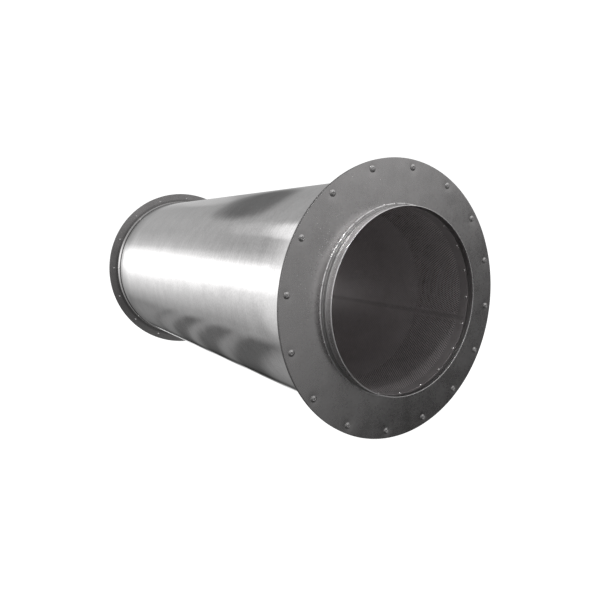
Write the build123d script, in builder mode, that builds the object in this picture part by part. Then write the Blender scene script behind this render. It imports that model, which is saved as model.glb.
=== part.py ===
"""Round duct sound attenuator, built from its separate pieces.

The duct's axis is X, and the origin lies on it at mid-length. The front end points along +X.
An outer casing of rolled sheet carries an angle ring at each end. An annular end plate is
screwed to each ring over a sealing strip. A perforated liner runs through both plates into
the spigots, and mineral wool behind a fleece fills the space between liner and casing.
All sizes are in millimetres. Angles are in degrees, from +Y towards +Z.
"""

import os
from math import cos, degrees, pi, radians, sin

from build123d import *

# Lengths along the duct
body_length = 988.0  # from the outside of one end plate to the outside of the other
spigot_reach = 22.8  # from an end plate's outside to the spigot's rim
liner_reach = 11.0  # from an end plate's outside to the liner's end, inside the spigot

# Outer casing
lining_depth = 48.6  # from the outside of a spigot to the outside of the casing
casing_sheet = 1.0
casing_bead_width = 14.0
casing_bead_height = 2.0
casing_bead_gap = 2.0  # from the end of the ring's collar to the foot of the bead
seam_angle = 315.0
seam_width = 9.0
seam_height = 2.4
seam_rounding = 1.0

# Angle rings at the ends of the casing
ring_leg = 27.9  # from the inside of the collar to the edge of the flange
ring_thickness = 2.5
collar_length = 20.0
collar_fit = 0.1  # between the casing and the collar
ring_root = 1.5

# End plates and the sealing strips under them
plate_sheet = 1.5
plate_hole_clearance = 0.5  # between the liner and the edge of the plate's hole
strip_thickness = 1.0
strip_width = 16.0
strip_overhang = 7.0  # from the outside of the casing to the strip's inner edge

# Flange screws, with a wafer head and a drill point
screw_count = 16
screw_edge_distance = 12.9  # from the screws to the edge of the flange
front_screw_angle = 16.4
rear_screw_angle = 19.8
screw_radius = 2.1
screw_length = 13.0
screw_point = 3.5
screw_head_radius = 5.35
screw_head_top_radius = 2.6
screw_head_height = 2.2
screw_hole_clearance = 0.15

# Spigots
spigot_radius = 157.4
spigot_sheet = 1.2
spigot_bead_width = 4.0
spigot_bead_height = 1.2
spigot_bead_gap = 5.0  # from the ends of the slits to the foot of the bead
tab_count = 45
tab_reach = 4.4  # from the spigot's outside to a tab's tip
tab_bend = 0.4  # bevel in the corner between the spigot and its tabs
tab_slit = 0.6  # width of a slit where a tab leaves the spigot
tab_slit_depth = 2.0  # from the end plate into the spigot's wall
tab_slit_angle = 7.4  # of the first slit

# Liner, without its perforation
liner_sheet = 0.7
liner_fit = 0.2  # between the liner and the spigot around it
liner_seam_angle = 345.0
liner_seam_gap = 1.0
liner_lap_width = 16.0

# Lining
fleece_thickness = 0.5
lining_clearance = 0.3
mat_joint_angle = 200.0
mat_joint_gap = 1.0

# Sealant in the corner between each end plate and the liner
sealant_leg = 5.0
sealant_clearance = 0.1

# Worked out from the sizes above
casing_radius = spigot_radius + lining_depth
plate_outside = body_length / 2
plate_inside = plate_outside - plate_sheet
ring_depth = plate_sheet + strip_thickness
ring_outside = plate_outside - ring_depth
collar_end = ring_outside - collar_length
ring_inner_radius = casing_radius + collar_fit
flange_radius = ring_inner_radius + ring_leg
screw_circle_radius = flange_radius - screw_edge_distance
strip_inner_radius = casing_radius - strip_overhang
casing_bead_place = collar_end - casing_bead_gap - casing_bead_width / 2
spigot_inner_radius = spigot_radius - spigot_sheet
spigot_bead_place = tab_slit_depth + spigot_bead_gap + spigot_bead_width / 2
tab_tip_radius = spigot_radius + tab_reach
liner_radius = spigot_inner_radius - liner_fit
liner_inner_radius = liner_radius - liner_sheet
plate_hole_radius = liner_radius + plate_hole_clearance
fleece_inner_radius = liner_radius + liner_sheet + lining_clearance
fleece_radius = fleece_inner_radius + fleece_thickness
mat_inner_radius = fleece_radius + lining_clearance
mat_radius = casing_radius - casing_sheet - lining_clearance
mat_end = ring_outside - lining_clearance
fleece_end = plate_inside - sealant_leg - lining_clearance
screw_hole_radius = screw_radius + screw_hole_clearance

FRONT = 1
REAR = -1


def end_face(end, depth=0.0):
    """Plane square to the duct, this far inside the end plate's outer face, looking outwards."""
    return Plane(
        origin=(end * (plate_outside - depth), 0, 0),
        x_dir=(0, 1, 0),
        z_dir=(end, 0, 0),
    )


def end_section(end):
    """Plane through the duct's axis: x runs outwards from the end plate's face, y is the radius."""
    return Plane(
        origin=(end * plate_outside, 0, 0),
        x_dir=(end, 0, 0),
        z_dir=(0, -end, 0),
    )


def axial_section(angle=90.0):
    """Plane through the duct's axis at an angle: x runs along the duct, y is the radius."""
    return Plane(
        origin=(0, 0, 0),
        x_dir=(1, 0, 0),
        z_dir=(0, -sin(radians(angle)), cos(radians(angle))),
    )


def rolled_sheet(plane, start, stop, radius, sheet, bead_places, bead_width, bead_height):
    """Tube of sheet with round beads pressed outwards, each hollow on its inside."""
    hollow_width = bead_width - sheet
    hollow_radius = radius - sheet
    with BuildPart() as wall:
        with BuildSketch(plane):
            with Locations(((start + stop) / 2, radius - sheet / 2)):
                Rectangle(stop - start, sheet)
            for place in bead_places:
                with BuildLine():
                    ThreePointArc(
                        (place - bead_width / 2, radius),
                        (place, radius + bead_height),
                        (place + bead_width / 2, radius),
                    )
                    Line((place + bead_width / 2, radius), (place - bead_width / 2, radius))
                make_face()
                with BuildLine():
                    ThreePointArc(
                        (place - hollow_width / 2, hollow_radius),
                        (place, hollow_radius + bead_height),
                        (place + hollow_width / 2, hollow_radius),
                    )
                    Line(
                        (place + hollow_width / 2, hollow_radius),
                        (place - hollow_width / 2, hollow_radius),
                    )
                make_face(mode=Mode.SUBTRACT)
        revolve(axis=Axis.X)
    return wall.part


def tube(start, stop, inner_radius, outer_radius):
    """Plain tube between two places along the duct."""
    with BuildPart() as wall:
        with BuildSketch(axial_section()):
            with Locations(((start + stop) / 2, (inner_radius + outer_radius) / 2)):
                Rectangle(stop - start, outer_radius - inner_radius)
        revolve(axis=Axis.X)
    return wall.part


def joint_gap(start, stop, inner_radius, outer_radius, angle, gap):
    """Wedge that parts a tube at an angle, as the butt joint of a rolled sheet or mat does."""
    turn = degrees(gap / outer_radius)
    with BuildPart() as wedge:
        with BuildSketch(axial_section(angle - turn / 2)):
            with Locations(((start + stop) / 2, (inner_radius + outer_radius) / 2)):
                Rectangle(stop - start, outer_radius - inner_radius)
        revolve(axis=Axis.X, revolution_arc=turn)
    return wedge.part


def make_casing():
    """Rolled sheet with a bead behind each collar and a folded seam along its hidden side."""
    seam_end = casing_bead_place - casing_bead_width / 2 - casing_bead_gap
    seam_foot = casing_radius - casing_sheet / 2
    seam_top = casing_radius + seam_height
    sheet = rolled_sheet(
        axial_section(),
        -ring_outside,
        ring_outside,
        casing_radius,
        casing_sheet,
        (-casing_bead_place, casing_bead_place),
        casing_bead_width,
        casing_bead_height,
    )
    with BuildPart() as casing:
        add(sheet)
        with BuildSketch(Plane.YZ.offset(-seam_end)) as seam:
            with PolarLocations((seam_foot + seam_top) / 2, 1, start_angle=seam_angle):
                Rectangle(seam_top - seam_foot, seam_width)
            outer_corners = seam.vertices().sort_by_distance((-seam_end, 0, 0))[2:]
            fillet(outer_corners, seam_rounding)
        extrude(amount=2 * seam_end)
    return casing.part


def make_flange_ring(end, screw_angle):
    """Steel angle rolled into a ring: the flange stands out, the collar lies on the casing."""
    flange_back = -ring_depth - ring_thickness
    collar_back = -ring_depth - collar_length
    collar_radius = ring_inner_radius + ring_thickness
    with BuildPart() as ring:
        with BuildSketch(end_section(end)):
            with BuildLine():
                Polyline(
                    (-ring_depth, ring_inner_radius),
                    (-ring_depth, flange_radius),
                    (flange_back, flange_radius),
                    (flange_back, collar_radius + ring_root),
                    (flange_back - ring_root, collar_radius),
                    (collar_back, collar_radius),
                    (collar_back, ring_inner_radius),
                    close=True,
                )
            make_face()
        revolve(axis=Axis.X)
        with BuildSketch(end_face(end, ring_depth)):
            with PolarLocations(screw_circle_radius, screw_count, start_angle=end * screw_angle):
                Circle(screw_hole_radius)
        extrude(amount=-ring_thickness, mode=Mode.SUBTRACT)
    return ring.part


def make_sealing_strip(end):
    """Flat strip between the end plate and the ring, inside the circle of screws."""
    with BuildPart() as strip:
        with BuildSketch(end_face(end, plate_sheet)):
            Circle(strip_inner_radius + strip_width)
            Circle(strip_inner_radius, mode=Mode.SUBTRACT)
        extrude(amount=-strip_thickness)
    return strip.part


def make_end_plate(end, screw_angle):
    """Annular plate that closes the lining, with the liner's hole and the screws' holes."""
    with BuildPart() as plate:
        with BuildSketch(end_face(end)):
            Circle(flange_radius)
            Circle(plate_hole_radius, mode=Mode.SUBTRACT)
            with PolarLocations(screw_circle_radius, screw_count, start_angle=end * screw_angle):
                Circle(screw_hole_radius, mode=Mode.SUBTRACT)
        extrude(amount=-plate_sheet)
    return plate.part


def make_flange_screws(end, screw_angle):
    """Screws of one end: a flat wafer head, a plain shank and a drill point."""
    shank_end = screw_point - screw_length
    with BuildPart(end_face(end)) as screws:
        with BuildSketch(Plane.XZ, mode=Mode.PRIVATE) as section:
            with BuildLine():
                Polyline(
                    (0, screw_head_height),
                    (screw_head_top_radius, screw_head_height),
                    (screw_head_radius, 0),
                    (screw_radius, 0),
                    (screw_radius, shank_end),
                    (0, -screw_length),
                    close=True,
                )
            make_face()
        screw = revolve(section.sketch, axis=Axis.Z, mode=Mode.PRIVATE)
        with PolarLocations(screw_circle_radius, screw_count, start_angle=end * screw_angle):
            add(screw)
    return screws.part


def make_spigot(end):
    """Rolled collar with a bead; its foot is slit into tabs that are bent flat onto the plate."""
    outer_bend = tab_bend + spigot_sheet
    slit_start = spigot_inner_radius - spigot_sheet
    slit_stop = tab_tip_radius + spigot_sheet
    flare = (slit_stop - spigot_radius) * pi / tab_count
    collar = rolled_sheet(
        end_section(end),
        outer_bend,
        spigot_reach,
        spigot_radius,
        spigot_sheet,
        (spigot_bead_place,),
        spigot_bead_width,
        spigot_bead_height,
    )
    with BuildPart() as spigot:
        add(collar)
        with BuildSketch(end_section(end)):
            with BuildLine():
                Polyline(
                    (outer_bend, spigot_inner_radius),
                    (outer_bend, spigot_radius),
                    (spigot_sheet, spigot_radius + tab_bend),
                    (spigot_sheet, tab_tip_radius),
                    (0, tab_tip_radius),
                    (0, spigot_inner_radius + outer_bend),
                    close=True,
                )
            make_face()
        revolve(axis=Axis.X)
        with BuildSketch(end_face(end)):
            with PolarLocations(0, tab_count, start_angle=end * tab_slit_angle):
                Polygon(
                    (slit_start, -tab_slit / 2),
                    (spigot_radius, -tab_slit / 2),
                    (slit_stop, -tab_slit / 2 - flare),
                    (slit_stop, tab_slit / 2 + flare),
                    (spigot_radius, tab_slit / 2),
                    (slit_start, tab_slit / 2),
                    align=None,
                )
        extrude(amount=tab_slit_depth, mode=Mode.SUBTRACT)
    return spigot.part


def make_liner():
    """Rolled liner: its edges meet at a gap, which a lap on the outside covers."""
    lap_turn = degrees(liner_lap_width / liner_radius)
    liner_end = plate_outside + liner_reach
    with BuildPart() as liner:
        add(tube(-liner_end, liner_end, liner_inner_radius, liner_radius))
        gap = joint_gap(
            -liner_end - liner_sheet,
            liner_end + liner_sheet,
            liner_inner_radius - liner_sheet,
            liner_radius + liner_sheet,
            liner_seam_angle,
            liner_seam_gap,
        )
        add(gap, mode=Mode.SUBTRACT)
        with BuildSketch(axial_section(liner_seam_angle - lap_turn / 2)):
            with Locations((0, liner_radius + liner_sheet / 2)):
                Rectangle(2 * fleece_end, liner_sheet)
        revolve(axis=Axis.X, revolution_arc=lap_turn)
    return liner.part


def make_fleece():
    """Glass fleece wrapped round the liner."""
    with BuildPart() as fleece:
        add(tube(-fleece_end, fleece_end, fleece_inner_radius, fleece_radius))
    return fleece.part


def make_wool_mat(end):
    """Mineral wool mat rolled round the fleece, over half of the length, with its butt joint."""
    near = end * lining_clearance / 2
    far = end * mat_end
    start = min(near, far)
    stop = max(near, far)
    with BuildPart() as mat:
        add(tube(start, stop, mat_inner_radius, mat_radius))
        sealant_corner = (
            mat.edges()
            .filter_by(GeomType.CIRCLE)
            .group_by(SortBy.RADIUS)[0]
            .sort_by(Axis.X)[-1 if end == FRONT else 0]
        )
        chamfer(sealant_corner, sealant_leg)
        gap = joint_gap(
            start - mat_joint_gap,
            stop + mat_joint_gap,
            mat_inner_radius - mat_joint_gap,
            mat_radius + mat_joint_gap,
            mat_joint_angle,
            mat_joint_gap,
        )
        add(gap, mode=Mode.SUBTRACT)
    return mat.part


def make_sealant(end):
    """Fillet of sealant in the corner between the end plate's inside and the liner."""
    foot_radius = liner_radius + sealant_clearance
    with BuildPart() as sealant:
        with BuildSketch(end_section(end)):
            with BuildLine():
                Polyline(
                    (-plate_sheet, foot_radius),
                    (-plate_sheet, foot_radius + sealant_leg),
                    (-plate_sheet - sealant_leg, foot_radius),
                    close=True,
                )
            make_face()
        revolve(axis=Axis.X)
    return sealant.part


def finish(part, label):
    """Names a finished piece and writes its file."""
    part.label = label
    export_step(part, f"parts/{label}.step")


os.makedirs("parts", exist_ok=True)
finish(make_casing(), "outer_casing")
finish(make_liner(), "perforated_liner")
finish(make_fleece(), "liner_fleece")
for end, name, screw_angle in (
    (FRONT, "front", front_screw_angle),
    (REAR, "rear", rear_screw_angle),
):
    finish(make_flange_ring(end, screw_angle), f"{name}_flange_ring")
    finish(make_sealing_strip(end), f"{name}_sealing_strip")
    finish(make_end_plate(end, screw_angle), f"{name}_end_plate")
    finish(make_flange_screws(end, screw_angle), f"{name}_flange_screws")
    finish(make_spigot(end), f"{name}_spigot")
    finish(make_sealant(end), f"{name}_sealant")
    finish(make_wool_mat(end), f"{name}_wool_mat")
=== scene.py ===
"""Round duct sound attenuator: the looks of its pieces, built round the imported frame.

Lengths are in metres and angles in radians, in the part's own frame. The duct's axis is X and
the front end points along +X. Turns about the axis are counted from +Y towards +Z. Each new
piece is a surface worked out with numpy on a grid of two parameters, as its function says.
"""

import bpy
import numpy as np
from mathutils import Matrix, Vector


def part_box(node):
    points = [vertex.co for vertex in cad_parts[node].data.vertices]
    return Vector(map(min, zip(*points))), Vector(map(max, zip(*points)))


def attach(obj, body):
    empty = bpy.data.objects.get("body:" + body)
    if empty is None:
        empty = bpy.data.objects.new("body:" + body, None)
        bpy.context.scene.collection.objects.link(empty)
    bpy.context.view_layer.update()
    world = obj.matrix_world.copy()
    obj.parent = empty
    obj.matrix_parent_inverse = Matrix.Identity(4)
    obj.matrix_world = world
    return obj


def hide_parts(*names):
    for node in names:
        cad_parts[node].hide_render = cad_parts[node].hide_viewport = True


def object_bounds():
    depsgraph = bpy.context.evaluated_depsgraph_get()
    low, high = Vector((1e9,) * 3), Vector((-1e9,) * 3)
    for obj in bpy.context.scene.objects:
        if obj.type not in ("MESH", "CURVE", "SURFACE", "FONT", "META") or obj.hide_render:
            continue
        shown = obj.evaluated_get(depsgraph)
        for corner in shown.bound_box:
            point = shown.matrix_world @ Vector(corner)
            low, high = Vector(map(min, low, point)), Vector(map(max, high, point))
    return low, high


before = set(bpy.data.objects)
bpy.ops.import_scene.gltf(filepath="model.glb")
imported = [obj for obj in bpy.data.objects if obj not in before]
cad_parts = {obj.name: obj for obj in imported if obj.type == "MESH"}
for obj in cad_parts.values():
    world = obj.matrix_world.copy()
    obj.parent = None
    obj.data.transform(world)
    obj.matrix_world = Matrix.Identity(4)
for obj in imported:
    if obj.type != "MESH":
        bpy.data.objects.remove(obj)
cad_low, cad_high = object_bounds()

# Places along the duct, read from the frame
plate_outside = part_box("front_end_plate")[1].x
plate_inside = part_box("front_end_plate")[0].x
ring_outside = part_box("front_flange_ring")[1].x
collar_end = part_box("front_flange_ring")[0].x
spigot_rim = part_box("front_spigot")[1].x
liner_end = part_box("perforated_liner")[1].x
screw_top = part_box("front_flange_screws")[1].x
screw_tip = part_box("front_flange_screws")[0].x

# Casing
casing_radius = 0.206
casing_sheet = 0.001
casing_bead_width = 0.014
casing_bead_height = 0.002
casing_bead_gap = 0.002
casing_bead_place = collar_end - casing_bead_gap - casing_bead_width / 2
seam_angle = np.radians(315.0)
seam_width = 0.009
seam_height = 0.0024
seam_rounding = 0.001
seam_foot_rounding = 0.0002

# Flange rings and end plates
flange_radius = 0.234
ring_thickness = 0.0025
ring_root = 0.0022
collar_fit = 0.0001
collar_radius = casing_radius + collar_fit + ring_thickness
plate_hole_radius = 0.1565
plate_face_margin = 0.001
plate_face_rows = 34
edge_rounding = 0.0004
dimple_depth = 0.00035
dimple_spread = 0.0085

# Flange screws, whose heights are counted from the plate's outer face
screw_count = 16
screw_circle_radius = 0.2211
first_screw_angle = {"front": np.radians(16.4), "rear": np.radians(19.8)}
screw_spin = 2.4
screw_columns = 32
screw_radius = 0.0021
screw_head_radius = 0.00535
point_length = 0.0035
point_start = screw_tip - plate_outside
point_end = point_start + point_length
point_flatness = 0.22
thread_top = -0.0045
thread_rows = 24
thread_depth = 0.0003
thread_pitch = 0.0014
dome_top = screw_top - plate_outside
dome_radius = 0.0029
dome_fall = 0.00075
dome_rows = np.linspace(0.0026, 0.0002, 9)
recess_reach = 0.0024
recess_half_width = 0.00062
recess_depth = 0.0016
recess_edge = 0.0003
recess_lowest = 0.001

# Spigots
spigot_radius = 0.1574
spigot_sheet = 0.0012
spigot_bead_width = 0.004
spigot_bead_height = 0.0012
spigot_bead_place = plate_outside + 0.009
spigot_rim_rounding = 0.0006
spigot_rim_steps = 7
tab_count = 45
tab_tip_radius = 0.1618
tab_bend = 0.0006
tab_slit = 0.00025
tab_slit_depth = 0.002
tab_slit_angle = np.radians(7.4)
tab_tip_rounding = 0.001
tab_corner_rounding = 0.0001
tab_end_rounding = 0.00005
tab_columns = 11
tab_side_share = 0.985
tab_curl = 0.0012
tab_hook = 0.0011
tab_taper = 0.25
tab_variation = 0.3
tab_flatter_corner = 0.25

# Perforated liner
liner_inner_radius = 0.1553
liner_sheet = 0.0007
liner_outer_radius = liner_inner_radius + liner_sheet
liner_seam_angle = np.radians(345.0)
liner_seam_gap = 0.0004
liner_first = liner_seam_angle + liner_seam_gap / liner_inner_radius
liner_last = liner_seam_angle + 2 * np.pi
liner_metallic = 0.6
lap_width = 0.016
lap_end = plate_inside - 0.0053
lap_steps = 16
liner_margin = 0.018
margin_end = liner_end - liner_margin
hole_radius = 0.00125
holes_round = 240
hole_row_pitch = 0.00352
hole_column_turn = (2 * np.pi - liner_seam_gap / liner_inner_radius) / holes_round
hole_column_pitch = 2 * np.pi * liner_inner_radius / holes_round
hole_share = np.pi * hole_radius**2 / (hole_row_pitch * hole_column_pitch)
open_rows = 30
deep_start = margin_end - open_rows * hole_row_pitch
painted_hole = (0.16, 0.152, 0.152, 1.0)
painted_edge = 0.00015
fade_length = 0.06
fade_share = 0.8

# Small fasteners. They rise from the base radius, outwards where side is 1
liner_rivets = {
    "place": plate_outside + 0.00775,
    "base_radius": liner_inner_radius,
    "first_angle": np.radians(-0.6),
    "count": 20,
    "radius": 0.0023,
    "height": 0.0011,
    "side": -1.0,
}
collar_rivets = {
    "place": collar_end + 0.009,
    "base_radius": collar_radius,
    "first_angle": np.radians(42.0),
    "count": 8,
    "radius": 0.0032,
    "height": 0.0012,
    "side": 1.0,
}
rivet_rows = np.array([1.0, 0.97, 0.88, 0.7, 0.45, 0.15])
rivet_columns = 20
rivet_sink = 0.0001

# Resolution of the surfaces, and how far holding points lie from what they hold
turn_steps = 384
plate_turn_steps = 576
arc_steps = 4
bead_steps = 17
length_steps = 60
edge_hold = 0.0003
thin_rounding = 0.00015
thin_hold = 0.0001
angle_hold = 0.0005

ENDS = (("front", 1.0), ("rear", -1.0))


# Surfaces
def grid_faces(rows, columns, rows_close=False, columns_close=False):
    """Quads between neighbouring points of a grid, whose points are counted row by row."""
    row = np.arange(rows if rows_close else rows - 1)
    column = np.arange(columns if columns_close else columns - 1)
    row, column = np.meshgrid(row, column, indexing="ij")
    next_row = (row + 1) % rows
    next_column = (column + 1) % columns
    corners = (
        row * columns + column,
        row * columns + next_column,
        next_row * columns + next_column,
        next_row * columns + column,
    )
    return np.stack(corners, axis=-1).reshape(-1, 4).tolist()


def column_caps(rows, columns):
    """Faces that close the first and the last column of a grid whose rows close."""
    first = np.arange(rows) * columns
    return [first.tolist(), (first + columns - 1)[::-1].tolist()]


def flipped(faces):
    """The faces, looking the other way."""
    return [face[::-1] for face in faces]


def joined(*patches):
    """One patch from several, each a pair of points and faces."""
    points = np.concatenate([patch[0] for patch in patches])
    faces = []
    offset = 0
    for patch_points, patch_faces in patches:
        faces += [[corner + offset for corner in face] for face in patch_faces]
        offset += len(patch_points)
    return points, faces


def polar_points(along, radius, angle):
    """Points at places along the duct, radii and angles: x, r cos(a), r sin(a)."""
    along, radius, angle = np.broadcast_arrays(along, radius, angle)
    place = (along, radius * np.cos(angle), radius * np.sin(angle))
    return np.stack(place, axis=-1).reshape(-1, 3)


def even_angles(first, count):
    """Angles that share a full turn evenly."""
    return first + 2 * np.pi * np.arange(count) / count


def clockwise(outline):
    """The outline with its points in the order that makes its swept surface face outwards."""
    x, y = outline.T
    doubled_area = np.sum(x * np.roll(y, -1) - np.roll(x, -1) * y)
    return outline if doubled_area < 0 else outline[::-1]


def rounded(corners, rounding, hold=edge_hold):
    """Closed outline with a curve at each corner: (1-t)^2 A + 2t(1-t) C + t^2 B.

    C is the corner, and A and B lie one rounding before and after it. A holding point before A
    and one after B keep the shading of the flats flat.
    """
    corners = np.asarray(corners, float)
    rounding = np.broadcast_to(np.asarray(rounding, float), len(corners))[:, None, None]
    back = np.roll(corners, 1, axis=0) - corners
    ahead = np.roll(corners, -1, axis=0) - corners
    back = (back / np.linalg.norm(back, axis=1, keepdims=True))[:, None, :]
    ahead = (ahead / np.linalg.norm(ahead, axis=1, keepdims=True))[:, None, :]
    middle = corners[:, None, :]
    t = np.linspace(0.0, 1.0, arc_steps + 1)[None, :, None]
    curve = middle + rounding * ((1 - t) ** 2 * back + t**2 * ahead)
    before = middle + (rounding + hold) * back
    after = middle + (rounding + hold) * ahead
    return np.concatenate([before, curve, after], axis=1).reshape(-1, 2)


def turned(outline, steps=turn_steps):
    """Outline of places along the duct and radii, carried all the way round the axis."""
    outline = clockwise(np.asarray(outline, float))
    angle = np.linspace(0.0, 2 * np.pi, steps, endpoint=False)
    points = polar_points(outline[:, :1], outline[:, 1:], angle)
    return points, grid_faces(len(outline), steps, rows_close=True, columns_close=True)


def mirrored(outline, end):
    """The outline of a front piece, or of the rear piece that mirrors it."""
    return outline * [end, 1.0]


def bead_rise(along, place, width, height):
    """Height of a rolled bead: half a cosine wave, flat at both feet."""
    across = np.clip((along - place) / width, -0.5, 0.5)
    return height * 0.5 * (1 + np.cos(2 * np.pi * across))


def bead_rows(place, width):
    """Places along the duct at which a bead has its rows."""
    return place + width * np.linspace(-0.5, 0.5, bead_steps)


def add_piece(name, patch, material, slot, *replaced_nodes):
    """Smooth mesh from a patch. It rides on the only body and stands for the named nodes."""
    points, faces = patch
    mesh = bpy.data.meshes.new(name)
    mesh.from_pydata(np.asarray(points).tolist(), [], faces)
    mesh.update()
    mesh.shade_smooth()
    mesh.materials.append(material)
    piece = bpy.data.objects.new(name, mesh)
    bpy.context.scene.collection.objects.link(piece)
    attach(piece, "root")
    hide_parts(*replaced_nodes)


# Shader nodes
class Value:
    """Number in a node tree. Arithmetic on it places Math nodes in the tree."""

    def __init__(self, tree, socket):
        self.tree = tree
        self.socket = socket

    def maths(self, operation, *others):
        """Output of a Math node on this number and others."""
        return calculate(self.tree, operation, self, *others)

    def __add__(self, other):
        return self.maths("ADD", other)

    def __sub__(self, other):
        return self.maths("SUBTRACT", other)

    def __mul__(self, other):
        return self.maths("MULTIPLY", other)

    def __truediv__(self, other):
        return self.maths("DIVIDE", other)


def link(tree, value, target):
    """Link from a socket or a Value to an input."""
    tree.links.new(getattr(value, "socket", value), target)


def add_node(tree, kind, inputs=None, **settings):
    """Node of a kind, with its settings, and a value or a link for each named input."""
    node = tree.nodes.new(kind)
    for setting, value in settings.items():
        setattr(node, setting, value)
    for socket, value in (inputs or {}).items():
        if isinstance(value, (Value, bpy.types.NodeSocket)):
            link(tree, value, node.inputs[socket])
        else:
            node.inputs[socket].default_value = value
    return node


def calculate(tree, operation, *values):
    """Result of a Math node."""
    node = add_node(tree, "ShaderNodeMath", dict(enumerate(values)), operation=operation)
    return Value(tree, node.outputs[0])


def vector_maths(tree, operation, *values):
    """Outputs of a Vector Math node: a vector, then a number."""
    inputs = dict(enumerate(values))
    node = add_node(tree, "ShaderNodeVectorMath", inputs, operation=operation)
    return node.outputs[0], Value(tree, node.outputs[1])


def scaled(tree, vector, factor):
    """Vector or colour times a number."""
    inputs = {0: vector, "Scale": factor}
    return add_node(tree, "ShaderNodeVectorMath", inputs, operation="SCALE").outputs[0]


def blended(tree, factor, first, second):
    """Mix of two numbers."""
    node = add_node(tree, "ShaderNodeMix", {0: factor, 2: first, 3: second})
    return Value(tree, node.outputs[0])


def mixed(tree, factor, first, second):
    """Mix of two colours."""
    inputs = {0: factor, 6: first, 7: second}
    return add_node(tree, "ShaderNodeMix", inputs, data_type="RGBA").outputs[2]


def ranged(tree, value, low, high, start=0.0, stop=1.0, change="LINEAR"):
    """Change from one number to another while a value goes from low to high."""
    inputs = {"Value": value, "From Min": low, "From Max": high, "To Min": start, "To Max": stop}
    node = add_node(tree, "ShaderNodeMapRange", inputs, interpolation_type=change)
    return Value(tree, node.outputs[0])


def smooth_step(tree, value, low, high, start=0.0, stop=1.0):
    """The same change, without corners."""
    return ranged(tree, value, low, high, start, stop, "SMOOTHSTEP")


def noise(tree, place, scale, detail, roughness=0.5):
    """Noise, about 0.5."""
    inputs = {"Vector": place, "Scale": scale, "Detail": detail, "Roughness": roughness}
    return Value(tree, add_node(tree, "ShaderNodeTexNoise", inputs).outputs["Fac"])


def bumped(tree, height, distance):
    """Normal of a surface with small heights."""
    inputs = {"Height": height, "Strength": 1.0, "Distance": distance}
    return add_node(tree, "ShaderNodeBump", inputs).outputs[0]


def grey(value):
    """Colour of one tone."""
    return (value, value, value, 1.0)


def object_place(tree):
    """Object coordinates of the point that is shaded."""
    return add_node(tree, "ShaderNodeTexCoord").outputs["Object"]


def split_place(tree, place):
    """The three numbers of a place."""
    outputs = add_node(tree, "ShaderNodeSeparateXYZ", {0: place}).outputs
    return [Value(tree, outputs[axis]) for axis in "XYZ"]


def new_group(name, inputs, outputs):
    """Shader node group with named sockets, its inputs by name and its output node."""
    group = bpy.data.node_groups.new(name, "ShaderNodeTree")
    for socket_name, kind, value in inputs:
        kind = f"NodeSocket{kind}"
        socket = group.interface.new_socket(socket_name, in_out="INPUT", socket_type=kind)
        socket.default_value = value
    for socket_name, kind in outputs:
        kind = f"NodeSocket{kind}"
        group.interface.new_socket(socket_name, in_out="OUTPUT", socket_type=kind)
    given = group.nodes.new("NodeGroupInput").outputs
    values = {socket_name: Value(group, given[socket_name]) for socket_name, kind, value in inputs}
    return group, values, group.nodes.new("NodeGroupOutput").inputs


def make_rolled_sheen():
    """Normal turned a little about the duct's axis by lines that run round it.

    The turn is strength * (noise - 0.5), along the direction round the duct at the point.
    """
    group, values, result = new_group(
        "rolled_sheen",
        [
            ("Lines", "Float", 300.0),
            ("Runs", "Float", 12.0),
            ("Strength", "Float", 0.02),
            ("Normal", "Vector", (0.0, 0.0, 0.0)),
        ],
        [("Normal", "Vector"), ("Line", "Float")],
    )
    scales = {"X": values["Lines"], "Y": values["Runs"], "Z": values["Runs"]}
    scale = add_node(group, "ShaderNodeCombineXYZ", scales).outputs[0]
    place = vector_maths(group, "MULTIPLY", object_place(group), scale)[0]
    line = noise(group, place, scale=1.0, detail=2.0, roughness=0.6) - 0.5
    round_duct = vector_maths(group, "CROSS_PRODUCT", (1.0, 0.0, 0.0), values["Normal"])[0]
    tilt = scaled(group, round_duct, line * values["Strength"])
    tilted = vector_maths(group, "ADD", values["Normal"], tilt)[0]
    link(group, vector_maths(group, "NORMALIZE", tilted)[0], result["Normal"])
    link(group, line, result["Line"])
    return group


def make_band():
    """Soft-edged band: 1 where a value lies between two limits, 0 beyond them."""
    group, values, result = new_group(
        "band",
        [
            ("Value", "Float", 0.0),
            ("Low", "Float", 0.0),
            ("High", "Float", 1.0),
            ("Softness", "Float", 0.0005),
        ],
        [("Mask", "Float")],
    )
    above = (values["Value"] - values["Low"]) / values["Softness"]
    below = (values["High"] - values["Value"]) / values["Softness"]
    inside = above.maths("MINIMUM", below)
    mask = add_node(group, "ShaderNodeClamp", {"Value": inside + 0.5})
    link(group, mask.outputs[0], result["Mask"])
    return group


def make_cloudy_zinc():
    """Soft patches of a zinc coat: large and small noise, which lighten and darken a colour."""
    group, values, result = new_group(
        "cloudy_zinc",
        [
            ("Color", "Color", grey(0.6)),
            ("Patches", "Float", 18.0),
            ("Contrast", "Float", 0.3),
            ("Fine Share", "Float", 0.25),
        ],
        [("Color", "Color"), ("Cloud", "Float")],
    )
    place = object_place(group)
    large = noise(group, place, scale=values["Patches"], detail=4.0, roughness=0.55)
    small = noise(group, place, scale=values["Patches"] * 9.0, detail=3.0)
    cloud = blended(group, values["Fine Share"], large, small)
    factor = (cloud - 0.5) * 2.0 * values["Contrast"] + 1.0
    link(group, scaled(group, values["Color"], factor), result["Color"])
    link(group, cloud, result["Cloud"])
    return group


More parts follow.
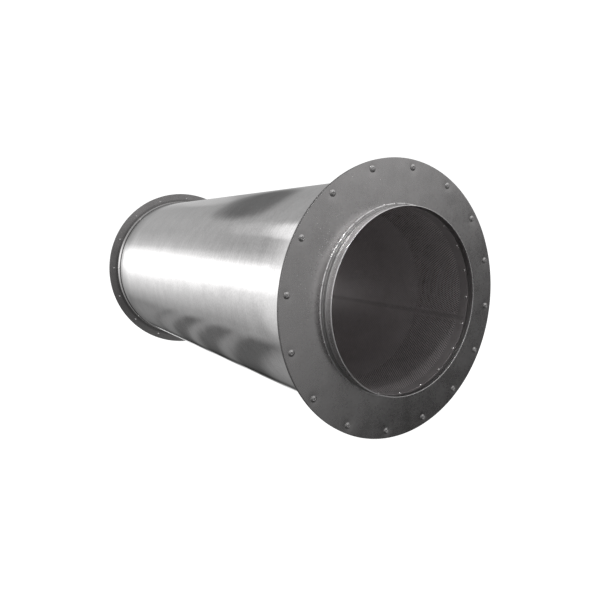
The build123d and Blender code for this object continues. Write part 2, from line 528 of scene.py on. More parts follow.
def make_perforation():
    """Round holes in staggered rows: 1 where a point is within a hole's radius of its centre."""
    group, values, result = new_group(
        "perforation", [("Edge", "Float", 0.0001)], [("Hole", "Float")]
    )
    x, y, z = split_place(group, object_place(group))
    row = (x + margin_end) / hole_row_pitch
    row_number = row.maths("FLOOR")
    from_row = (row - row_number - 0.5) * hole_row_pitch
    from_seam = (z.maths("ARCTAN2", y) - liner_seam_angle).maths("FLOORED_MODULO", 2 * np.pi)
    column = from_seam / hole_column_turn + row_number.maths("FLOORED_MODULO", 2.0) * 0.5
    from_column = (column.maths("FRACT") - 0.5) * (hole_column_turn * liner_inner_radius)
    distance = (from_row * from_row + from_column * from_column).maths("SQRT")
    hole = ranged(group, distance, hole_radius, values["Edge"] + hole_radius, 1.0, 0.0)
    link(group, hole, result["Hole"])
    return group


def use_group(tree, group, **inputs):
    """A shared group placed in a material. In the names of its values _ stands for a space."""
    inputs = {socket.replace("_", " "): value for socket, value in inputs.items()}
    return add_node(tree, "ShaderNodeGroup", inputs, node_tree=group)


rolled_sheen = make_rolled_sheen()
cloudy_zinc = make_cloudy_zinc()
perforation = make_perforation()
band = make_band()

# Rolling lines along and round the duct, waves of a sheet, and the usual range of its clouds
sheen_lines = 420.0
sheen_runs = 16.0
wave_scale = 9.0
cloud_range = (0.3, 0.7)

# Limits of a band that no place on the part reaches
nearest = -1.0
furthest = 1.0


# Materials
def new_material(name, metallic, roughness, color):
    """Material with its Principled shader. Values that are the same all over are set there."""
    material = bpy.data.materials.new(name)
    material.use_nodes = True
    tree = material.node_tree
    tree.nodes.clear()
    inputs = {"Base Color": color, "Metallic": metallic, "Roughness": roughness}
    shader = add_node(tree, "ShaderNodeBsdfPrincipled", inputs)
    add_node(tree, "ShaderNodeOutputMaterial", {"Surface": shader.outputs[0]})
    material.diffuse_color = color
    return material, tree, shader


def zinc_material(
    name, color, contrast, patches, roughness, waviness,
    fine_share=0.25, sheen=0.0, streaks=0.0, metallic=1.0,
):
    """Zinc-coated sheet: cloudy tone, uneven gloss, a slightly wavy surface and rolling lines.

    contrast, patches and fine_share set its clouds, roughness is a pair of its least and most,
    waviness is the height of its waves, and sheen and streaks are how far the rolling lines
    turn the normal and change the tone.
    """
    color = (*color, 1.0)
    material, tree, shader = new_material(name, metallic, roughness[0], color)
    clouds = use_group(
        tree, cloudy_zinc, Color=color, Patches=patches, Contrast=contrast, Fine_Share=fine_share
    ).outputs
    gloss = ranged(tree, clouds["Cloud"], *cloud_range, *roughness)
    waves = noise(tree, object_place(tree), scale=wave_scale, detail=2.0)
    normal = bumped(tree, waves, waviness)
    toned = clouds["Color"]
    if sheen:
        lines = use_group(
            tree, rolled_sheen, Lines=sheen_lines, Runs=sheen_runs, Strength=sheen, Normal=normal
        ).outputs
        normal = lines["Normal"]
        toned = scaled(tree, toned, Value(tree, lines["Line"]) * streaks + 1.0)
    link(tree, gloss, shader.inputs["Roughness"])
    link(tree, toned, shader.inputs["Base Color"])
    link(tree, normal, shader.inputs["Normal"])
    return material


def matte_material(name, color, contrast, patches, fuzz_scale, fuzz_height):
    """Fibres or rubber: cloudy tone and a fine uneven surface."""
    color = (*color, 1.0)
    material, tree, shader = new_material(name, 0.0, 0.9, color)
    clouds = use_group(tree, cloudy_zinc, Color=color, Patches=patches, Contrast=contrast)
    fuzz = noise(tree, object_place(tree), scale=fuzz_scale, detail=6.0, roughness=0.7)
    link(tree, clouds.outputs["Color"], shader.inputs["Base Color"])
    link(tree, bumped(tree, fuzz, fuzz_height), shader.inputs["Normal"])
    return material


def flat_place(tree):
    """Place of the shaded point in the plane across the duct's axis."""
    return vector_maths(tree, "MULTIPLY", object_place(tree), (0.0, 1.0, 1.0))[0]


def axis_distance(tree):
    """Distance of the shaded point from the duct's axis."""
    return vector_maths(tree, "LENGTH", flat_place(tree))[1]


def seam_distance(tree):
    """Distance of the shaded point from the line along which the liner's seam runs."""
    seam = tuple(polar_points(0.0, liner_inner_radius, liner_seam_angle)[0])
    return vector_maths(tree, "DISTANCE", flat_place(tree), seam)[1]


def distance_along(tree):
    """Distance of the shaded point from the duct's middle, along its axis."""
    return split_place(tree, object_place(tree))[0].maths("ABSOLUTE")


def distance_towards_rear(tree):
    """Distance of the shaded point behind the duct's middle."""
    return split_place(tree, object_place(tree))[0] * -1.0


def band_mask(tree, measure, low, high, softness):
    """1 where a measure of the shaded point lies between two limits."""
    inputs = {"Value": measure(tree), "Low": low, "High": high, "Softness": softness}
    return Value(tree, use_group(tree, band, **inputs).outputs["Mask"])


def add_band(material, measure, low, high, softness, tone, roughness=None):
    """Band in which a material's tone is multiplied and its roughness set."""
    tree = material.node_tree
    shader = tree.nodes["Principled BSDF"]
    mask = band_mask(tree, measure, low, high, softness)
    color = shader.inputs["Base Color"]
    toned = scaled(tree, color.links[0].from_socket, blended(tree, mask, 1.0, tone))
    link(tree, toned, color)
    if roughness is not None:
        gloss = shader.inputs["Roughness"]
        link(tree, blended(tree, mask, gloss.links[0].from_socket, roughness), gloss)


def liner_material(name, painted_holes):
    """Dull perforated sheet. Deep inside the duct its holes are painted dark, not cut.

    Towards the middle of the duct they fade into the mean tone of sheet and holes.
    """
    material = zinc_material(
        name, (0.75, 0.708, 0.716), 0.16, 30.0, (0.32, 0.44), 0.0008, metallic=liner_metallic
    )
    if painted_holes:
        tree = material.node_tree
        shader = tree.nodes["Principled BSDF"]
        holes = use_group(tree, perforation, Edge=painted_edge)
        middle = band_mask(tree, distance_along, nearest, deep_start, fade_length)
        hole = blended(tree, middle * fade_share, holes.outputs["Hole"], hole_share)
        color = shader.inputs["Base Color"]
        painted = mixed(tree, hole, color.links[0].from_socket, painted_hole)
        solid = calculate(tree, "SUBTRACT", 1.0, hole) * liner_metallic
        link(tree, painted, color)
        link(tree, solid, shader.inputs["Metallic"])
    return material


# Name, colour, contrast and patches of the clouds, least and most roughness, waviness, then
# the share of small clouds, and how far rolling lines turn the normal and change the tone
casing_zinc = zinc_material(
    "casing_sheet", (0.80, 0.79, 0.79), 0.34, 30.0, (0.055, 0.095), 0.00025, 0.5, 0.05, 0.30
)
ring_zinc = zinc_material("ring_steel", (0.46, 0.45, 0.45), 0.22, 30.0, (0.30, 0.42), 0.0004)
plate_zinc = zinc_material(
    "plate_sheet", (0.62, 0.605, 0.605), 0.26, 22.0, (0.23, 0.33), 0.0012, 0.4
)
spigot_zinc = zinc_material("spigot_sheet", (0.70, 0.69, 0.69), 0.12, 30.0, (0.22, 0.32), 0.0004)
screw_zinc = zinc_material("screw_zinc", (0.52, 0.51, 0.51), 0.15, 60.0, (0.24, 0.34), 0.0)
rivet_zinc = zinc_material("rivet_zinc", (0.80, 0.79, 0.78), 0.10, 60.0, (0.20, 0.30), 0.0)
liner_open = liner_material("liner_sheet", painted_holes=False)
liner_painted = liner_material("liner_sheet_deep", painted_holes=True)
# The lap is the liner's own sheet, made darker as painted shade where it lies behind the liner
lap_zinc_painted_shade = zinc_material("liner_lap", (0.44, 0.415, 0.42), 0.16, 30.0, (0.4, 0.5), 0.0008)

# Name, colour, contrast and patches of the clouds, scale and height of the fuzz
fleece = matte_material("fleece", (0.13, 0.122, 0.122), 0.4, 40.0, 2500.0, 0.0002)
wool = matte_material("wool", (0.42, 0.34, 0.17), 0.35, 25.0, 600.0, 0.0015)
strip_rubber = matte_material("sealing_strip", (0.03, 0.03, 0.03), 0.2, 40.0, 1800.0, 0.0001)
sealant_grey = matte_material("sealant", (0.36, 0.36, 0.35), 0.1, 40.0, 500.0, 0.0003)

# Bands: material, what is measured, its two limits, softness, tone and, where set, roughness.
# The bare cut edges of the plates and rings
for sheet in (plate_zinc, ring_zinc):
    add_band(sheet, axis_distance, flange_radius - 0.0004, furthest, 0.0002, 0.45, 0.5)

# Painted highlight on the collar of each ring, painted shade beside the collar, and painted shade
# at the collar's end
root_start = collar_radius + 0.0006
root_end = collar_radius + 0.008
add_band(ring_zinc, axis_distance, nearest, root_start, 0.0008, 1.35, 0.25)
add_band(ring_zinc, axis_distance, root_start, root_end, 0.004, 0.72)
add_band(ring_zinc, distance_along, nearest, collar_end + 0.008, 0.008, 0.35)

# Painted shade in the grooves beside the casing's beads, and a painted dark reflection of the rear
# ring over the casing's rear end
add_band(casing_zinc, distance_along, casing_bead_place, furthest, 0.008, 0.6, 0.25)
add_band(casing_zinc, distance_towards_rear, collar_end - 0.047, furthest, 0.06, 0.54)

# Painted shade over the bends at the foot of each spigot; its rim and tab tips lightened, partly as
# wear and partly as a painted highlight; and painted shade on its rougher inside
bend_start = plate_outside + spigot_sheet + 0.0002
bend_end = spigot_bead_place + spigot_bead_width * 0.55
inside_end = spigot_radius - spigot_sheet / 2
add_band(spigot_zinc, distance_along, bend_start, bend_end, 0.0012, 0.48, 0.42)
add_band(spigot_zinc, distance_along, spigot_rim - 0.0024, furthest, 0.001, 1.38, 0.34)
add_band(spigot_zinc, axis_distance, spigot_radius + 0.0016, furthest, 0.0012, 1.5)
add_band(spigot_zinc, axis_distance, nearest, inside_end, 0.0002, 0.6, 0.42)

# The liner's darker ends, and a darker band along its seam
for sheet in (liner_open, liner_painted):
    add_band(sheet, distance_along, margin_end, furthest, 0.0004, 0.6)
    add_band(sheet, seam_distance, nearest, 0.004, 0.004, 0.82)


# Pieces
def casing():
    """Casing: a rolled sheet whose radius rises over a bead behind each collar."""
    bead = bead_rows(casing_bead_place, casing_bead_width)
    plain = np.linspace(-bead[0], bead[0], length_steps)[1:-1]
    edge = np.array([collar_end, ring_outside - edge_hold, ring_outside])
    along = np.concatenate([-edge[::-1], -bead[::-1], plain, bead, edge])
    rise = bead_rise(np.abs(along), casing_bead_place, casing_bead_width, casing_bead_height)
    outer = np.stack([along, casing_radius + rise], axis=-1)
    inner = outer - [0.0, casing_sheet]
    return turned(np.concatenate([outer, inner[::-1]]))


def casing_seam():
    """Folded seam: a low bar with rounded shoulders, whose section runs along the casing."""
    seam_end = collar_end - casing_bead_gap * 2 - casing_bead_width
    foot = casing_radius - casing_sheet / 2
    top = casing_radius + seam_height
    half = seam_width / 2
    section = rounded(
        [(-half, foot), (-half, top), (half, top), (half, foot)],
        [seam_foot_rounding, seam_rounding, seam_rounding, seam_foot_rounding],
    )
    section = clockwise(section)[::-1]
    along = np.linspace(-seam_end, seam_end, length_steps)
    across, radius = section[:, :1], section[:, 1:]
    points = polar_points(along[None, :], radius, seam_angle + across / casing_radius)
    faces = grid_faces(len(section), len(along), rows_close=True)
    return points, faces + flipped(column_caps(len(section), len(along)))


def flange_ring(end):
    """Angle ring: an L with a rounded root, carried round the duct."""
    inner = casing_radius + collar_fit
    back = ring_outside - ring_thickness
    corners = [
        (ring_outside, inner),
        (ring_outside, flange_radius),
        (back, flange_radius),
        (back, collar_radius),
        (collar_end, collar_radius),
        (collar_end, inner),
    ]
    rounding = np.full(len(corners), edge_rounding)
    rounding[3] = ring_root
    return turned(mirrored(rounded(corners, rounding), end))


def screw_angles(name):
    """Angles of the screws of an end."""
    return even_angles(first_screw_angle[name], screw_count)


def end_plate(name, end):
    """Annular plate, pressed in a little at each screw by depth * exp(-(distance/spread)^2)."""
    corners = [
        (plate_inside, plate_hole_radius),
        (plate_outside, plate_hole_radius),
        (plate_outside, flange_radius),
        (plate_inside, flange_radius),
    ]
    outline = rounded(corners, edge_rounding)
    first = plate_hole_radius + plate_face_margin
    face = np.linspace(first, flange_radius - plate_face_margin, plate_face_rows)
    outside = np.stack([np.full_like(face, plate_outside), face], axis=-1)
    face = face[::-3]
    inside = np.stack([np.full_like(face, plate_inside), face], axis=-1)
    split = 2 * (arc_steps + 3)
    outline = np.concatenate([outline[:split], outside, outline[split:], inside])
    points, faces = turned(mirrored(outline, end), plate_turn_steps)
    screws = polar_points(0.0, screw_circle_radius, screw_angles(name))
    apart = points[:, None, 1:] - screws[None, :, 1:]
    distance = np.linalg.norm(apart, axis=-1)
    dent = dimple_depth * np.exp(-((distance / dimple_spread) ** 2)).sum(axis=1)
    points[:, 0] -= end * dent
    return points, faces


def screw_profile():
    """Radii and heights of a screw, from its point over its head.

    Its dome lies at top - fall * (radius / dome radius)^2.
    """
    point = [(0.00012, 0.0), (0.0011, 0.0006), (0.00165, 0.0014)]
    point = [(radius, point_start + rise) for radius, rise in point]
    thread = [(screw_radius, height) for height in np.linspace(point_end, thread_top, thread_rows)]
    head = [
        (screw_radius, -0.0004),
        (screw_radius, 0.0),
        (screw_head_radius - 0.0002, 0.0),
        (screw_head_radius, 0.00015),
        (screw_head_radius, 0.0004),
        (screw_head_radius - 0.0003, 0.0006),
        (screw_head_radius - 0.0012, 0.00078),
        (0.0034, 0.00105),
        (0.0029, 0.00145),
    ]
    dome = [(radius, dome_top - dome_fall * (radius / dome_radius) ** 2) for radius in dome_rows]
    return np.array(point + thread + head + dome)


def flange_screws(name, end):
    """Wafer-head screws: a turned profile, with a helix on the shank and a cross in the head.

    Rows run from the drill point up the shank and over the head, and columns run round the
    screw. The thread is a wave of height and angle together, and the cross lowers the head
    where a point is near either arm's line.
    """
    profile = screw_profile()
    turn = np.linspace(0.0, 2 * np.pi, screw_columns, endpoint=False)[None, :]
    radius = np.repeat(profile[:, :1], screw_columns, axis=1)
    height = np.repeat(profile[:, 1:], screw_columns, axis=1)
    threaded = (height >= point_end) & (height <= thread_top)
    wave = (height / thread_pitch + turn / (2 * np.pi)) % 1.0
    radius = radius - np.where(threaded, thread_depth * np.abs(2 * wave - 1), 0.0)
    blade = np.where(height < point_end, point_flatness * np.cos(2 * turn), 0.0)
    radius = radius * (1 - np.maximum(blade, 0.0))
    across, up = radius * np.cos(turn), radius * np.sin(turn)
    nearer = np.minimum(np.abs(across), np.abs(up))
    arm = np.clip((recess_half_width - nearer) / recess_edge + 0.5, 0, 1)
    reach = np.clip((recess_reach - radius) / (2 * recess_edge) + 0.5, 0, 1)
    height = height - np.where(height > recess_lowest, recess_depth * arm * reach, 0.0)
    faces = grid_faces(len(profile), screw_columns, columns_close=True)
    tip_cap = list(range(screw_columns))[::-1]
    top_cap = [(len(profile) - 1) * screw_columns + column for column in range(screw_columns)]
    faces = faces + [tip_cap, top_cap]
    if end > 0:
        faces = flipped(faces)
    patches = []
    for number, place in enumerate(screw_angles(name)):
        spin = screw_spin * number
        outwards = screw_circle_radius + across * np.cos(spin) - up * np.sin(spin)
        sideways = across * np.sin(spin) + up * np.cos(spin)
        x = end * (plate_outside + height)
        y = outwards * np.cos(place) - sideways * np.sin(place)
        z = outwards * np.sin(place) + sideways * np.cos(place)
        patches.append((np.stack([x, y, z], axis=-1).reshape(-1, 3), faces))
    return joined(*patches)


def spigot_collar(end):
    """Spigot from the ends of its slits to the rim: a rolled sheet that rises over its bead.

    Its rim is two quarter circles with a short flat between them.
    """
    bead = bead_rows(spigot_bead_place, spigot_bead_width)
    foot = plate_outside + tab_slit_depth + np.array([-0.0002, 0.0004, 0.003])
    along = np.concatenate([foot, bead, [0.5 * (bead[-1] + spigot_rim)]])
    rise = bead_rise(along, spigot_bead_place, spigot_bead_width, spigot_bead_height)
    turn = np.linspace(0.0, np.pi / 2, spigot_rim_steps)
    rim_x = spigot_rim - spigot_rim_rounding * (1 - np.sin(turn))
    rim_in = spigot_rim_rounding * (1 - np.cos(turn))
    hold_x = spigot_rim - spigot_rim_rounding - edge_hold
    x = np.concatenate([along, [hold_x], rim_x])
    outside = np.concatenate([spigot_radius + rise, [spigot_radius], spigot_radius - rim_in])
    inner_radius = spigot_radius - spigot_sheet
    inside = np.concatenate([inner_radius + rise, [inner_radius], inner_radius + rim_in])
    outer = np.stack([x, outside], axis=-1)
    inner = np.stack([x, inside], axis=-1)
    return turned(mirrored(np.concatenate([outer, inner[::-1]]), end))


def spigot_tabs(end):
    """Tabs of the spigot's foot: a bent strip, carried across each tab.

    A tab widens a little less than its fan, so its half angle is half the width divided by
    spigot radius + taper * (radius - spigot radius). Its corners curl off the plate by
    curl * (share of the way to the tip)^2 * |share across|^3, more at one corner than at the
    other, and that corner hooks outwards by hook * share of the way * (share across)^5.
    """
    slit_end = plate_outside + tab_slit_depth
    inner_radius = spigot_radius - spigot_sheet
    top = plate_outside + spigot_sheet
    corners = [
        (slit_end, inner_radius, tab_end_rounding),
        (plate_outside, inner_radius, tab_bend + spigot_sheet),
        (plate_outside, tab_tip_radius, tab_corner_rounding),
        (top, tab_tip_radius, tab_tip_rounding),
        (top, spigot_radius, tab_bend),
        (slit_end, spigot_radius, tab_end_rounding),
    ]
    place, rounding = np.split(np.array(corners), [2], axis=1)
    outline = clockwise(mirrored(rounded(place, rounding[:, 0], hold=thin_hold), end))
    sides = np.linspace(-tab_side_share, tab_side_share, tab_columns - 2)
    across = np.concatenate([[-1.0], sides, [1.0]])
    width = 2 * np.pi * spigot_radius / tab_count - tab_slit
    out = np.clip((outline[:, 1:] - spigot_radius) / (tab_tip_radius - spigot_radius), 0.0, 1.0)
    flare = np.maximum(outline[:, 1:] - spigot_radius, 0.0)
    half_angle = width / 2 / (spigot_radius + tab_taper * flare)
    uneven = np.where(across > 0, 1.0, tab_flatter_corner)
    faces = grid_faces(len(outline), tab_columns, rows_close=True)
    faces = faces + column_caps(len(outline), tab_columns)
    patches = []
    for number in range(tab_count):
        middle = tab_slit_angle + 2 * np.pi * (number + 0.5) / tab_count
        change = tab_variation * np.sin(2.1 * number) * np.cos(0.7 * number)
        lift = 1.0 - tab_variation + change
        curl = tab_curl * lift * uneven * out**2 * np.abs(across) ** 3
        along = outline[:, :1] + end * curl
        radius = outline[:, 1:] + tab_hook * lift * out * np.maximum(across, 0.0) ** 5
        points = polar_points(along, radius, middle + half_angle * across)
        patches.append((points, faces))
    return joined(*patches)


def perforated_zone(end):
    """End zone of the liner, with real holes in staggered rows.

    Each cell is one row pitch by one column pitch. Eight nodes on its border, at the corners
    and the middles of its sides, are joined by quads to eight points round its hole.
    """
    node_rows = 2 * open_rows + 1
    node_columns = 2 * holes_round + 2
    row, column = np.meshgrid(np.arange(node_rows), np.arange(node_columns), indexing="ij")
    nodes = polar_points(
        end * (margin_end - row * hole_row_pitch / 2),
        liner_inner_radius,
        liner_first + column * hole_column_turn / 2,
    )
    hole_row, hole_column, corner = np.meshgrid(
        np.arange(open_rows), np.arange(holes_round), np.arange(8), indexing="ij"
    )
    shift = hole_row % 2
    turn = np.pi / 4 * corner
    rims = polar_points(
        end * (margin_end - (hole_row + 0.5) * hole_row_pitch - hole_radius * np.sin(turn)),
        liner_inner_radius,
        liner_first
        + (hole_column + 0.5 + shift / 2) * hole_column_turn
        + hole_radius / liner_inner_radius * np.cos(turn),
    )
    border_row = np.array([1, 2, 2, 2, 1, 0, 0, 0])[corner]
    border_column = np.array([2, 2, 1, 0, 0, 0, 1, 2])[corner]
    border = (2 * hole_row + border_row) * node_columns + 2 * hole_column + border_column + shift
    rim = node_rows * node_columns + (hole_row * holes_round + hole_column) * 8 + corner
    corners = (border, np.roll(border, -1, axis=2), np.roll(rim, -1, axis=2), rim)
    quads = np.stack(corners, axis=-1).reshape(-1, 4).tolist()
    return np.concatenate([nodes, rims]), quads if end > 0 else flipped(quads)


def sheet_arc(start, stop, inner_radius, first=liner_first, last=liner_last, steps=turn_steps):
    """Part of a rolled sheet between two angles: a thin section carried round the duct."""
    outer_radius = inner_radius + liner_sheet
    corners = [
        (start, inner_radius),
        (start, outer_radius),
        (stop, outer_radius),
        (stop, inner_radius),
    ]
    section = clockwise(rounded(corners, thin_rounding, hold=thin_hold))
    inside = np.linspace(first + angle_hold, last - angle_hold, steps - 2)
    angle = np.concatenate([[first], inside, [last]])
    points = polar_points(section[:, :1], section[:, 1:], angle)
    faces = grid_faces(len(section), steps, rows_close=True)
    return points, faces + column_caps(len(section), steps)


def rivets(end, place, base_radius, first_angle, count, radius, height, side):
    """Low rivet heads: height * (1 - s^2)^0.5 over a disc, set on a turned surface."""
    share = rivet_rows[:, None]
    turn = np.linspace(0.0, 2 * np.pi, rivet_columns, endpoint=False)[None, :]
    rise = height * np.sqrt(1 - share**2) - rivet_sink
    cap = [(len(share) - 1) * rivet_columns + column for column in range(rivet_columns)]
    faces = grid_faces(len(share), rivet_columns, columns_close=True) + [cap]
    if side > 0:
        faces = flipped(faces)
    patches = []
    for angle in even_angles(first_angle, count):
        points = polar_points(
            end * place + radius * share * np.cos(turn),
            base_radius + side * rise,
            angle + radius * share * np.sin(turn) / base_radius,
        )
        patches.append((points, faces))
    return joined(*patches)


def liner_lap():
    """Strip behind the liner's seam."""
    middle = liner_seam_angle + liner_seam_gap / 2 / liner_inner_radius
    half = lap_width / 2 / liner_outer_radius
    return sheet_arc(-lap_end, lap_end, liner_outer_radius, middle - half, middle + half, lap_steps)


liner = "perforated_liner"
add_piece("casing", casing(), casing_zinc, "casing_sheet", "outer_casing")
add_piece("casing_seam", casing_seam(), casing_zinc, "casing_sheet", "outer_casing")
middle = sheet_arc(-deep_start, deep_start, liner_inner_radius)
add_piece("liner_middle", middle, liner_painted, "liner_sheet", liner)
add_piece("liner_lap", liner_lap(), lap_zinc_painted_shade, "liner_sheet", liner)

for name, end in ENDS:
    ring = f"{name}_flange_ring"
    plate = f"{name}_end_plate"
    screws = f"{name}_flange_screws"
    spigot = f"{name}_spigot"
    margin = sheet_arc(*sorted([end * margin_end, end * liner_end]), liner_inner_radius)
    add_piece(f"{name}_ring", flange_ring(end), ring_zinc, "ring_steel", ring)
    add_piece(f"{name}_plate", end_plate(name, end), plate_zinc, "plate_sheet", plate)
    add_piece(f"{name}_screws", flange_screws(name, end), screw_zinc, "screw_zinc", screws)
    add_piece(f"{spigot}_collar", spigot_collar(end), spigot_zinc, "spigot_sheet", spigot)
    add_piece(f"{spigot}_tabs", spigot_tabs(end), spigot_zinc, "spigot_sheet", spigot)
    add_piece(f"{name}_liner_holes", perforated_zone(end), liner_open, "liner_sheet", liner)
    add_piece(f"{name}_liner_margin", margin, liner_open, "liner_sheet", liner)
    add_piece(f"{name}_liner_rivets", rivets(end, **liner_rivets), rivet_zinc, "screw_zinc")
    add_piece(f"{name}_collar_rivets", rivets(end, **collar_rivets), rivet_zinc, "screw_zinc")

# Mirrors see past the rear flange, so that the casing's highlight reaches the bead beside it
for piece_name in ("rear_ring", "rear_plate", "rear_screws"):
    bpy.data.objects[piece_name].visible_glossy = False
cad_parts["rear_sealing_strip"].visible_glossy = False

node_materials = {
    "liner_fleece": fleece,
    "front_wool_mat": wool,
    "rear_wool_mat": wool,
    "front_sealing_strip": strip_rubber,
    "rear_sealing_strip": strip_rubber,
    "front_sealant": sealant_grey,
    "rear_sealant": sealant_grey,
}
for node_name, material in node_materials.items():
    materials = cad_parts[node_name].data.materials
    materials.clear()
    materials.append(material)


# Studio
def studio_floor():
    """Plain pale floor under the flanges, which mirrors see through to the studio's own light."""
    half = 30.0
    corners = ((-half, -half), (half, -half), (half, half), (-half, half))
    mesh = bpy.data.meshes.new("floor")
    mesh.from_pydata([(x, y, cad_low.z) for x, y in corners], [], [(0, 1, 2, 3)])
    floor = bpy.data.objects.new("floor", mesh)
    bpy.context.scene.collection.objects.link(floor)
    material = bpy.data.materials.new("floor")
    material.use_nodes = True
    tree = material.node_tree
    tree.nodes.clear()
    paint = add_node(tree, "ShaderNodeBsdfDiffuse", {"Color": grey(0.5)})
    glow = add_node(tree, "ShaderNodeEmission", {"Color": grey(1.0), "Strength": 1.0})
    both = add_node(tree, "ShaderNodeAddShader", {0: paint.outputs[0], 1: glow.outputs[0]})
    add_node(tree, "ShaderNodeOutputMaterial", {"Surface": both.outputs[0]})
    mesh.materials.append(material)
    floor.visible_glossy = False
    floor.visible_diffuse = False


def tone_ramp(tree, share, stops):
    """Color ramp from a list of places and grey values."""
    ramp = add_node(tree, "ShaderNodeValToRGB", {"Fac": share})
    elements = ramp.color_ramp.elements
    while len(elements) < len(stops):
        elements.new(0.5)
    for element, (place, value) in zip(elements, stops):
        element.position = place
        element.color = grey(value)
    return ramp.outputs["Color"]


def panel_mask(tree, turn, spread, panel):
    """1 inside a soft-edged, squarish oval of turn and spread, 0 outside it.

    The oval leans: its middle spread falls by lean for each degree of turn.
    """
    middle_turn, half_turn, middle_spread, half_spread, lean = panel
    from_middle = turn - middle_turn
    across = from_middle / half_turn
    along = (spread + from_middle * lean - middle_spread) / half_spread
    oval = across.maths("ABSOLUTE").maths("POWER", 3.0) + along * along
    return smooth_step(tree, oval, *panel_edge, 1.0, 0.0)


def ripple_tone(tree, turn, spread):
    """Dark and light arcs: a ramp over spread - bend * (turn - middle)^2, from a first turn on."""
    from_middle = turn - ripple_middle
    straight = spread - from_middle * from_middle * ripple_bend
    low, high = ripple_range
    stops = [((place - low) / (high - low), value) for place, value in ripples]
    tone = tone_ramp(tree, (straight - low) / (high - low), stops)
    return mixed(tree, smooth_step(tree, turn, *ripple_start), grey(1.0), tone)


def background(tree, color, strength):
    """Light from all round."""
    inputs = {"Color": color, "Strength": strength}
    return add_node(tree, "ShaderNodeBackground", inputs).outputs[0]


def studio_light():
    """Soft light from all round, as bright and dark panels about the duct's axis.

    turn is the direction's angle about the axis, and spread is its angle from the rear end's
    direction, both in degrees.
    """
    world = bpy.data.worlds.new("studio")
    bpy.context.scene.world = world
    world.use_nodes = True
    tree = world.node_tree
    tree.nodes.clear()
    direction = add_node(tree, "ShaderNodeTexCoord").outputs["Generated"]
    x, y, z = split_place(tree, direction)
    spread = (x * -1.0).maths("ARCCOSINE").maths("DEGREES")
    turn = (z * -1.0).maths("ARCTAN2", y * -1.0).maths("DEGREES") + 180.0
    turn_share = turn / 360.0
    rear_tone, side_tone = (
        tone_ramp(tree, turn_share, [(row[0] / 360.0, row[column]) for row in panels_round_axis])
        for column in (1, 2)
    )
    round_axis = mixed(tree, smooth_step(tree, spread, *rear_to_side), rear_tone, side_tone)
    round_axis = vector_maths(tree, "MULTIPLY", round_axis, ripple_tone(tree, turn, spread))[0]
    for panel, tone, strength in panels_beside_axis:
        share = panel_mask(tree, turn, spread, panel) * strength
        round_axis = mixed(tree, share, round_axis, grey(tone))
    height_share = z * 0.5 + 0.5
    low_y, stops = panels_before_front[0]
    before_front = tone_ramp(tree, height_share, stops)
    for high_y, stops in panels_before_front[1:]:
        share = smooth_step(tree, y, low_y, high_y)
        before_front = mixed(tree, share, before_front, tone_ramp(tree, height_share, stops))
        low_y = high_y
    forward = smooth_step(tree, x, *rear_to_front)
    panels = background(tree, mixed(tree, forward, round_axis, before_front), 1.0)
    walls = background(tree, grey(1.0), wall_light)
    white = background(tree, grey(1.0), backdrop_light)
    rays = add_node(tree, "ShaderNodeLightPath").outputs
    inputs = {0: rays["Is Glossy Ray"], 1: walls, 2: panels}
    unseen = add_node(tree, "ShaderNodeMixShader", inputs).outputs[0]
    inputs = {0: rays["Is Camera Ray"], 1: unseen, 2: white}
    all_rays = add_node(tree, "ShaderNodeMixShader", inputs).outputs[0]
    add_node(tree, "ShaderNodeOutputWorld", {"Surface": all_rays})


def soft_box(name, place, aim, size, power):
    """Square area light that faces a point."""
    lamp = bpy.data.lights.new(name, "AREA")
    lamp.size = size
    lamp.energy = power
    box = bpy.data.objects.new(name, lamp)
    box.location = place
    box.rotation_euler = (Vector(aim) - Vector(place)).to_track_quat("-Z", "Y").to_euler()
    bpy.context.scene.collection.objects.link(box)
    return box


# Turn about the axis, tone near the rear end's direction, tone further from it
panels_round_axis = [
    (0.0, 0.80, 0.55),
    (23.0, 0.66, 0.38),
    (40.0, 0.48, 0.38),
    (57.0, 0.41, 0.38),
    (93.0, 0.45, 0.42),
    (111.0, 0.46, 0.44),
    (128.0, 0.56, 0.41),
    (138.0, 0.70, 0.46),
    (148.0, 1.20, 0.74),
    (158.0, 1.80, 1.55),
    (176.0, 1.85, 1.65),
    (188.0, 1.35, 0.96),
    (200.0, 0.95, 0.70),
    (212.0, 0.72, 0.52),
    (229.0, 0.46, 0.34),
    (247.0, 0.28, 0.31),
    (266.0, 0.26, 0.31),
    (283.0, 0.22, 0.27),
    (300.0, 0.17, 0.19),
    (306.0, 0.08, 0.08),
    (314.0, 0.10, 0.10),
    (320.0, 1.15, 1.15),
    (343.0, 1.10, 1.10),
    (360.0, 0.80, 0.55),
]

# The spreads between which the first of those tones turns into the second
rear_to_side = (16.0, 28.0)

# Ripples: where they are straightest, how they bend, where they come in, and spread and tone
ripple_middle = 269.0
ripple_bend = 0.0012
ripple_start = (233.0, 247.0)
ripple_range = (18.0, 36.0)
ripples = [
    (18.0, 0.9),
    (19.3, 0.95),
    (19.6, 0.66),
    (20.0, 0.66),
    (20.4, 0.92),
    (21.3, 1.0),
    (21.7, 0.43),
    (22.9, 0.43),
    (23.4, 1.0),
    (24.0, 0.95),
    (24.6, 0.41),
    (26.2, 0.40),
    (26.9, 0.88),
    (27.8, 0.80),
    (28.6, 0.38),
    (31.0, 0.37),
    (32.4, 0.85),
    (34.0, 1.0),
]

# Middle and half width in turn, then in spread, and lean; tone; strength
panels_beside_axis = [
    ((58.0, 33.0, 28.5, 3.0, 0.08), 0.14, 0.95),
    ((32.0, 22.0, 23.4, 2.6, 0.0), 0.60, 0.6),
    ((108.0, 10.0, 29.5, 4.0, 0.0), 0.60, 0.55),
    ((112.0, 11.0, 34.5, 4.6, 0.0), 1.10, 0.9),
    ((165.0, 62.0, 34.5, 4.4, 0.0), 1.10, 0.6),
]
panel_edge = (0.3, 1.7)

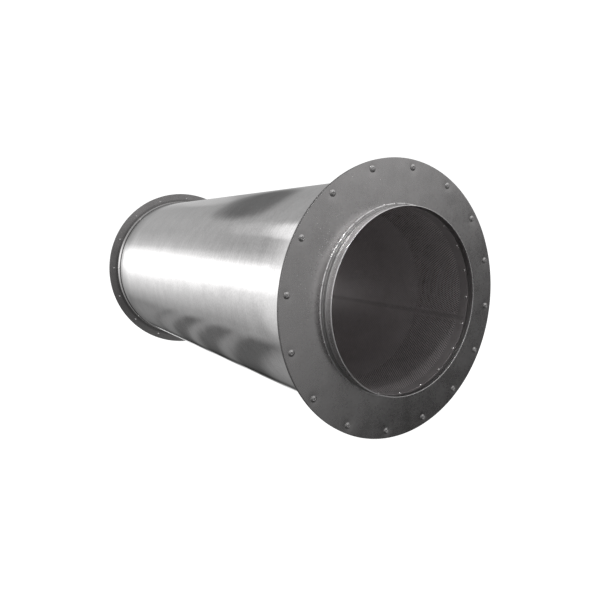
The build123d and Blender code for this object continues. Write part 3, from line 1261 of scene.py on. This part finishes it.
# Sideways place, then heights (0 lowest, 1 highest) and tones at it
panels_before_front = [
    (-0.85, [(0.0, 0.20), (0.42, 0.40), (0.52, 0.85), (0.62, 1.30)]),
    (-0.50, [(0.0, 0.08), (0.35, 0.12), (0.48, 0.21), (0.56, 0.26), (0.70, 0.36), (0.85, 1.0)]),
    (0.20, [(0.0, 0.03), (0.36, 0.08), (0.40, 0.27), (0.53, 0.23), (0.57, 0.36), (0.85, 1.0)]),
    (0.50, [(0.30, 0.11), (0.345, 0.27), (0.45, 0.38), (0.51, 0.35), (0.56, 0.40), (0.75, 0.95)]),
    (0.66, [(0.32, 0.0), (0.36, 0.035), (0.45, 0.17), (0.51, 0.28), (0.56, 0.54), (0.75, 0.95)]),
    (0.80, [(0.32, 0.035), (0.41, 0.07), (0.47, 0.06), (0.51, 0.10), (0.56, 0.25), (0.75, 0.9)]),
]

# The forward places between which the panels before the front take over
rear_to_front = (-0.3, 0.35)
wall_light = 0.35
backdrop_light = 1.1

# The camera stands before the front end, on the side of -Y, a little above the axis
camera_place = (1.1529, -0.6213, 0.1137)
camera_forward = (-0.8343, 0.5371, -0.1242)
camera_lens = 32.28

studio_floor()
studio_light()

# A small lamp that lights without being mirrored, and a larger one that is only mirrored
ceiling_light = soft_box(
    "ceiling_light", place=(0.98, -0.60, 2.55), aim=(0.5, 0.0, 0.0), size=0.09, power=10.5
)
ceiling_light.visible_glossy = False
side_light = soft_box(
    "side_light", place=(0.63, -1.25, 2.15), aim=(0.58, 0.0, 0.0), size=0.36, power=0.7
)
side_light.visible_diffuse = False
side_light.data.spread = np.radians(36.0)

camera = bpy.data.objects.new("camera", bpy.data.cameras.new("camera"))
camera.location = camera_place
camera.rotation_euler = Vector(camera_forward).to_track_quat("-Z", "Y").to_euler()
camera.data.lens = camera_lens
camera.data.sensor_width = 36.0
camera.data.clip_start = 0.01
bpy.context.scene.collection.objects.link(camera)
bpy.context.scene.camera = camera
bpy.context.scene.view_settings.view_transform = "Standard"
